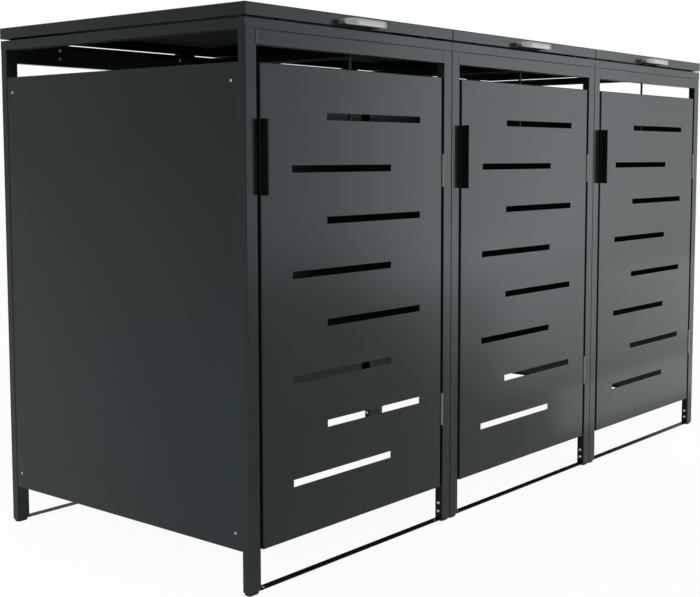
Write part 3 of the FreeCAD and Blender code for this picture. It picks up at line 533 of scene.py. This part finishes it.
def pins(name, node, radius, shank, length, head):
    """Hinge pins turned about Z: each end is a head with a round edge and a shallow dimple."""
    edge = np.linspace(0, np.pi / 2, 4)
    rim = [(radius - head * 0.45 * (1 - np.sin(turn)), head * 0.45 * (1 - np.cos(turn)))
           for turn in edge]
    low = [(radius * 0.12, head * 0.16), (radius * 0.4, head * 0.06), (radius * 0.55, 0.0)] + rim
    low += [(radius, head), (shank, head)]
    high = [(across, length - up) for across, up in reversed(low)]
    points, quads, ends = shell(lathe(low + high, 24))
    made = piece(name, *copied(points, [quads, ends], pin_places(node)), "hinge_steel", "carcass")
    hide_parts(node)


for module in MODULES:
    screws(f"door_pan_screws_{module}", f"door_screws_{module}", f"door_leaf_{module}")
    screws(f"lid_pan_screws_{module}", f"lid_screws_{module}", f"lid_top_{module}")
screws("post_pan_screws", "post_screws", "carcass")
screws("panel_pan_screws", "panel_screws", "carcass", PANEL_SCREW_HEAD)
screws("lid_hinge_pan_bolts", "lid_hinge_bolts", "carcass")
pins("turned_door_pins", "door_hinge_pins", radius=0.0035, shank=0.0016, length=0.076, head=0.001)
pins("turned_lid_pins", "lid_hinge_pins", radius=0.004, shank=0.002, length=0.045, head=0.001)


# Bow handles


def bent_path(corners, bend):
    """A line through corners that keeps its runs straight and turns each inner corner on a curve.
    The curve starts and ends one bend before and after its corner; at t from 0 to 1 it is
    (1 - t)^2 start + 2 t (1 - t) corner + t^2 end."""
    corners = np.array(corners, float)
    ahead = np.diff(corners, axis=0)
    ahead /= np.linalg.norm(ahead, axis=1, keepdims=True)
    inner = corners[1:-1]
    starts = inner - ahead[:-1] * bend
    ends = inner + ahead[1:] * bend
    t = np.linspace(0, 1, 9)[None, :, None]
    turned = ((1 - t) ** 2 * starts[:, None] + 2 * t * (1 - t) * inner[:, None]
              + t ** 2 * ends[:, None])
    return np.concatenate([corners[:1], turned.reshape(-1, corners.shape[1]), corners[-1:]])


BOW_BAR = 0.005
BOW_LEG = 0.0195
BOW_SLANT = 0.0265
BOW_ROOT = 0.010
BOW_LEG_HEIGHT = 0.0095
BOW_BEND = 0.0060
BOW_FULLNESS = 0.62


def bow(module):
    """A bar bent to two legs, two slants and the grip. Its section is an ellipse on the legs and
    a crowned rectangle on the grip: section = (1 - share) leg + share grip, where share eases
    from 0 to 1 as 3 a^2 - 2 a^3 with the way a out from the legs' ends to the grip."""
    low, high = (np.array(corner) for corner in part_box(f"lid_bow_{module}"))
    half = BOW_BAR / 2
    level = (low[2] + high[2]) / 2
    left, right = low[0] + half, high[0] - half
    base, knee, front = high[1], high[1] - BOW_LEG, low[1] + half
    corners = [(left, base), (left, (base + knee) / 2), (left, knee),
               (left + BOW_SLANT - half, front), (right - BOW_SLANT + half, front), (right, knee),
               (right, (base + knee) / 2), (right, base)]
    line = bent_path(corners, BOW_BEND)
    path = np.concatenate([line, np.full((len(line), 1), level)], axis=1)
    out = np.clip((base - line[:, 1] - BOW_ROOT) / (base - front - BOW_ROOT), 0, 1)
    share = (3 * out ** 2 - 2 * out ** 3)[:, None, None]
    leg = swept(path, crowned_section(BOW_BAR, BOW_LEG_HEIGHT, 1.0), (0, 0, 1))
    grip = swept(path, crowned_section(BOW_BAR, high[2] - low[2], BOW_FULLNESS), (0, 0, 1))
    points, quads, ends = shell(leg * (1 - share) + grip * share)
    made = piece(f"bow_handle_{module}", points, [quads, ends], "satin_steel",
                 f"lid_top_{module}")
    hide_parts(f"lid_bow_{module}")


for module in MODULES:
    bow(module)


# Lifters: round wire, bent to an eye above and a hook below


def wire(path, radius):
    """A round wire along a path, with a round tip at its far end: the section shrinks there as
    radius times sqrt(1 - a^2), where a goes from 0 to 1 over the last steps."""
    around = np.linspace(0, 2 * np.pi, 20, endpoint=False)
    section = np.stack([np.cos(around), np.sin(around)], axis=-1)
    shrink = np.ones(len(path)) * radius
    shrink[-5:] = radius * np.sqrt(1 - np.array([0.0, 0.5, 0.8, 0.94, 0.99]) ** 2)
    skin = swept(path, section, (0.70, 0.71, 0.0))
    return path[:, None, :] + (skin - path[:, None, :]) * shrink[:, None, None]


LIFTER_WIRE = 0.00325
LIFTER_EYE_WIRE = 0.0025
LIFTER_EYE = 0.008
LIFTER_NECK = 0.0058
LIFTER_HOOK = 0.010
LIFTER_TIP = 0.010


def ring(across, back, level, reach, thickness, steps=40, sides=16):
    """A closed ring of round wire that stands in the YZ plane. A point lies reach + thickness
    cos(b) from its middle, turned by a, and thickness sin(b) to the side."""
    turn = np.linspace(0, 2 * np.pi, steps, endpoint=False)
    around = np.linspace(0, 2 * np.pi, sides, endpoint=False)
    out = reach + thickness * np.cos(around)
    points = np.stack([np.broadcast_to(across + thickness * np.sin(around), (steps, sides)),
                       back + np.outer(np.sin(turn), out), level - np.outer(np.cos(turn), out)],
                      axis=-1)
    rows = np.arange(steps * sides).reshape(steps, sides)
    nextward = np.roll(rows, -1, axis=0)
    quads = np.stack([rows, np.roll(rows, -1, axis=1), np.roll(nextward, -1, axis=1), nextward],
                     axis=-1)
    return points.reshape(-1, 3), quads.reshape(-1, 4)


def lifter(module):
    """The hook: down the rod, round a half circle of the hook's radius and up to the tip. The
    eye: a ring of wire around the staple's pin."""
    low, high = (np.array(corner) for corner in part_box(f"lid_lifter_{module}"))
    across = high[0] - LIFTER_WIRE
    back = (low[1] + high[1]) / 2
    pin = high[2] - LIFTER_EYE
    turn_level = low[2] + LIFTER_WIRE + LIFTER_HOOK
    tip_level = turn_level + LIFTER_TIP + LIFTER_WIRE
    down = np.linspace(pin - LIFTER_NECK, turn_level, 12)[:-1]
    rod = np.stack([np.full(11, across), np.full(11, back), down], axis=-1)
    angle = np.linspace(0, np.pi, 17)
    bend = np.stack([across - LIFTER_HOOK * (1 - np.cos(angle)), np.full(17, back),
                     turn_level - LIFTER_HOOK * np.sin(angle)], axis=-1)
    closer = np.array([0.2, 0.4, 0.6, 0.75, 0.85, 0.93, 0.98, 1.0])
    rise = turn_level + (tip_level - turn_level) * closer
    tip = np.stack([np.full(8, across - 2 * LIFTER_HOOK), np.full(8, back), rise], axis=-1)
    points, quads, ends = shell(wire(np.concatenate([rod, bend, tip]), LIFTER_WIRE))
    eye, eye_quads = ring(across, back, pin, LIFTER_EYE - LIFTER_EYE_WIRE, LIFTER_EYE_WIRE)
    made = piece(f"bent_lifter_{module}", np.concatenate([points, eye]),
                 [quads, ends, eye_quads + len(points)], "lifter_steel", f"lifter_rod_{module}")
    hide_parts(f"lid_lifter_{module}")


for module in MODULES:
    lifter(module)


# Rubber buffers under the lids

BUFFER_STEP = 0.0045


def buffers():
    """Turned rubber cushions: a foot with a small step, a waist and a domed top."""
    places = []
    for points in islands("lid_buffers"):
        low, high = points.min(axis=0), points.max(axis=0)
        places.append((np.eye(3), np.array([(low[0] + high[0]) / 2, (low[1] + high[1]) / 2,
                                            low[2]])))
    radius = (high[0] - low[0]) / 2
    tall = high[2] - low[2]
    crown = np.linspace(0, np.pi / 2, 6)
    profile = [(radius * 0.3, 0.0), (radius * 0.96, 0.0), (radius, 0.0004), (radius, BUFFER_STEP),
               (radius * 0.94, BUFFER_STEP + 0.0007), (radius * 0.90, BUFFER_STEP + 0.0015),
               (radius * 0.90, tall * 0.72), (radius * 0.94, tall * 0.80)]
    profile += [(radius * (0.55 + 0.39 * np.cos(turn)), tall * (0.86 + 0.14 * np.sin(turn)))
                for turn in crown]
    points, quads, ends = shell(lathe(profile, 32))
    made = piece("rubber_buffers", *copied(points, [quads, ends], places), "buffer_rubber",
                 "carcass")
    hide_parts("lid_buffers")


buffers()


# Ground welds: the head rails meet the posts without a seam in the faces

POST_WIDTH = 0.030
HEAD_RAIL = 0.030
WELD_WIDTH = 0.008
WELD_SWELL = 0.00025
WELD_ROOT = 0.0006
WELD_END = 0.0004


def weld_strips():
    """Thin filler over each joint of a head rail and a post, ground flush: across the joint its
    height above the face is swell times (1 - a^2)^2, with a from -1 to 1 over its width, so it
    has no edge of its own, and its root lies in the tube's wall."""
    places = []
    for module in MODULES:
        for kind, toward in (("front", -1.0), ("rear", 1.0)):
            low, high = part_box(f"{kind}_frame_{module}")
            face = low[1] if toward < 0 else high[1]
            for seam in (low[0] + POST_WIDTH, high[0] - POST_WIDTH):
                places.append((seam, face, toward, high[2] - HEAD_RAIL, high[2]))
    share = np.linspace(-1, 1, 13)
    rise = np.append(WELD_SWELL * (1 - share ** 2) ** 2, np.full(13, -WELD_ROOT))
    sides = np.append(share, share[::-1]) * (WELD_WIDTH / 2)
    skins = []
    for seam, face, toward, low, high in places:
        levels = np.linspace(low + WELD_END, high - WELD_END, 5)[:, None]
        order = slice(None) if toward < 0 else slice(None, None, -1)
        grid = np.stack(np.broadcast_arrays(seam + sides[None, order],
                                            face + toward * rise[None, order], levels), axis=-1)
        skins.append(shell(grid))
    piece("ground_welds", *joined(skins), "coat", "carcass")


weld_strips()


# Feet: soft-edged caps with a plug in the post

FOOT_CAP = 0.0065
FOOT_ROUND = 0.0035
FOOT_RIM = 0.0006
FOOT_RIM_SET_IN = 0.0005
FOOT_PLUG = 0.0026
FOOT_PLUG_TAPER = 0.0015
FOOT_FULLNESS = 0.55


def feet():
    """Moulded caps. Level by level from the ground up, the outline is a crowned rectangle whose
    half sizes are the foot's, less a set-in that is radius (1 - sqrt(1 - a^2)) near the ground,
    with a from 1 to 0 over the rounding; above the cap the outline shrinks to the plug."""
    skins = []
    for points in islands("feet"):
        low, high = points.min(axis=0), points.max(axis=0)
        middle = (low + high) / 2
        size = high - low
        cap = low[2] + FOOT_CAP
        levels = [(low[2] + FOOT_ROUND * (1 - share), FOOT_ROUND * (1 - np.sqrt(1 - share ** 2)))
                  for share in np.linspace(1, 0, 6)]
        levels += [(cap - FOOT_RIM, 0.0), (cap, FOOT_RIM_SET_IN), (cap, FOOT_PLUG),
                   (high[2] - FOOT_PLUG_TAPER, FOOT_PLUG), (high[2], FOOT_PLUG + FOOT_PLUG_TAPER)]
        rows = []
        for level, set_in in levels:
            outline = crowned_section(size[0] - 2 * set_in, size[1] - 2 * set_in, FOOT_FULLNESS, 40)
            rows.append(np.insert(outline + middle[:2], 2, level, axis=1))
        skins.append(shell(np.stack(rows)))
    made = piece("moulded_feet", *joined(skins), "foot_plastic", "carcass")
    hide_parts("feet")


feet()


# Everything carried over from the CAD part keeps its shape and gets its slot's finish

for node in NODES.values():
    for holder in node.material_slots:
        slot = holder.material.name.split(".")[0]
        if slot in FINISHES:
            holder.material = FINISHES[slot]

# The insides of the lids and the undersides of the rings are dull, and their colour is painted
# darker as shade.
# A lid's inside starts within the thickness of its sheet.

IN_FROM_SIDE = 0.0012
IN_FROM_TOP = 0.0008
RING_EDGE = 0.001
RING_UNDERSIDE = 0.0003
PAST_THE_ROW = 2.0


def recoat(node, finish):
    """Gives a CAD node another finish."""
    for holder in NODES[node].material_slots:
        holder.material = finish


for module in MODULES:
    low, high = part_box(f"lid_{module}")
    recoat(f"lid_{module}", anthracite(f"lid_coat_{module}", {
        "Left": low[0] + IN_FROM_SIDE, "Right": high[0] - IN_FROM_SIDE,
        "Front": low[1] + IN_FROM_SIDE, "Back": high[1] - IN_FROM_SIDE,
        "Level": high[2] - IN_FROM_TOP}))

# The ring coat paints shade on the rings' undersides, in from their front and back edges.
low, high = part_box("top_ring_1")
RING_COAT = anthracite("ring_coat", {
    "Left": -PAST_THE_ROW, "Right": PAST_THE_ROW,
    "Front": low[1] + RING_EDGE, "Back": high[1] - RING_EDGE,
    "Level": low[2] + RING_UNDERSIDE})
for module in MODULES:
    recoat(f"top_ring_{module}", RING_COAT)


# Floor, world, lamps and camera


def lit_floor():
    """A pale floor that camera and mirror rays see nearly white, with the row's soft shadow."""
    made, tree, shader = material("pale_floor")
    grain = use(tree, POWDER, Grain=90.0, Patch=1.5)
    tone = tinted(tree, grain["Cloud"], (0.82, 0.82, 0.82, 1), (0.86, 0.86, 0.86, 1))
    tree.links.new(tone, shader.inputs["Base Color"])
    shader.inputs["Roughness"].default_value = 0.9
    shader.inputs["Specular IOR Level"].default_value = 0.0
    seen = add(tree, "ShaderNodeEmission", {"Color": WHITE, "Strength": 1.0})
    ray = add(tree, "ShaderNodeLightPath").outputs
    straight = math(tree, "MAXIMUM", ray["Is Camera Ray"],
                    math(tree, "MAXIMUM", ray["Is Glossy Ray"], ray["Is Transmission Ray"]))
    share = math(tree, "MULTIPLY", straight, 0.95)
    mixed = add(tree, "ShaderNodeMixShader", {0: share, 1: shader.outputs[0],
                                              2: seen.outputs[0]})
    tree.links.new(mixed.outputs[0], tree.nodes["Material Output"].inputs["Surface"])
    mesh = bpy.data.meshes.new("studio_floor")
    reach = 60.0
    mesh.from_pydata([(-reach, -reach, 0), (reach, -reach, 0), (reach, reach, 0),
                      (-reach, reach, 0)], [], [(0, 1, 2, 3)])
    mesh.materials.append(made)
    floor = bpy.data.objects.new("studio_floor", mesh)
    bpy.context.scene.collection.objects.link(floor)


def studio_world():
    """White for the camera and in mirrors, and an even soft grey that lights the row."""
    world = bpy.data.worlds.new("studio")
    bpy.context.scene.world = world
    world.use_nodes = True
    tree = world.node_tree
    tree.nodes.clear()
    ray = add(tree, "ShaderNodeLightPath").outputs
    mirrored = math(tree, "MULTIPLY", ray["Is Glossy Ray"], 0.6)
    straight = math(tree, "MAXIMUM", ray["Is Camera Ray"],
                    math(tree, "MAXIMUM", mirrored, ray["Is Transmission Ray"]))
    seen = add(tree, "ShaderNodeBackground", {"Color": WHITE, "Strength": 1.0})
    soft = add(tree, "ShaderNodeBackground", {"Color": (0.95, 0.98, 1.0, 1), "Strength": 0.55})
    mixed = add(tree, "ShaderNodeMixShader", {0: straight, 1: soft.outputs[0],
                                              2: seen.outputs[0]})
    out = tree.nodes.new("ShaderNodeOutputWorld")
    tree.links.new(mixed.outputs[0], out.inputs["Surface"])


def softbox(name, place, target, size, strength, mirrored=True):
    """An area lamp that faces a target. The camera doesn't see it, and the coat mirrors it or
    not."""
    lamp = bpy.data.lights.new(name, "AREA")
    lamp.shape = "RECTANGLE"
    lamp.size, lamp.size_y = size
    lamp.energy = strength
    lamp.color = (0.95, 1.0, 1.04)
    made = bpy.data.objects.new(name, lamp)
    made.location = place
    made.visible_camera = False
    made.visible_glossy = mirrored
    aim = Vector(target) - Vector(place)
    made.rotation_euler = aim.to_track_quat("-Z", "Y").to_euler()
    bpy.context.scene.collection.objects.link(made)


PHOTO_WIDTH, PHOTO_HEIGHT = 700, 597
FOCAL_LENGTH = 1206.8
OPTICAL_CENTRE = (375.79, 260.94)


def photo_camera():
    """The camera's place, direction and lens, fitted to the photograph's long edges. The focal
    length and the optical centre are in pixels of the photograph."""
    data = bpy.data.cameras.new("camera")
    data.sensor_width = 36.0
    data.sensor_fit = "HORIZONTAL"
    data.lens = FOCAL_LENGTH / PHOTO_WIDTH * data.sensor_width
    data.shift_x = (PHOTO_WIDTH / 2 - OPTICAL_CENTRE[0]) / PHOTO_WIDTH
    data.shift_y = (OPTICAL_CENTRE[1] - PHOTO_HEIGHT / 2) / PHOTO_WIDTH
    data.clip_end = 300
    made = bpy.data.objects.new("camera", data)
    made.location = (-2.6537, -2.0505, 0.8728)
    made.rotation_euler = Vector((0.77142, 0.63037, -0.08688)).to_track_quat("-Z", "Y").to_euler()
    bpy.context.scene.collection.objects.link(made)
    bpy.context.scene.camera = made


lit_floor()
studio_world()
# Each line says a lamp's name, place, target, width and height in metres, and watts. The first four
# stand side by side out to the right, where the doors mirror them to the camera. The next three
# stand low and lift the lower parts of the doors. The side lamp lights the left panel and isn't
# mirrored, and the last one hangs overhead.
softbox("main_softbox", (4.5, -3.4, 1.01), (4.5, 0.0, 1.01), (3.0, 1.98), 48.5)
softbox("inner_softbox", (2.25, -3.4, 1.12), (2.25, 0.0, 1.12), (1.5, 1.76), 13)
softbox("middle_softbox", (3.5, -3.3, 1.01), (3.5, 0.0, 1.01), (1.0, 1.98), 2.7)
softbox("outer_softbox", (7.25, -3.4, 1.01), (7.25, 0.0, 1.01), (2.5, 1.98), 20)
softbox("near_softbox", (1.8, -1.7, 0.26), (1.8, 0.0, 0.26), (1.0, 0.48), 1.2)
softbox("low_softbox", (2.05, -1.1, 0.215), (2.05, 0.0, 0.215), (2.3, 0.41), 3.2)
softbox("foot_softbox", (1.10, -0.62, 0.08), (1.10, 0.0, 0.08), (1.10, 0.15), 0.52)
softbox("side_softbox", (-1.35, 0.10, 0.30), (-1.0, 0.10, 0.30), (1.6, 0.60), 2.8, False)
softbox("top_softbox", (0.0, -0.6, 4.2), (0.0, 0.0, 0.6), (4.0, 3.0), 40)
photo_camera()
bpy.context.scene.view_settings.view_transform = "Standard"
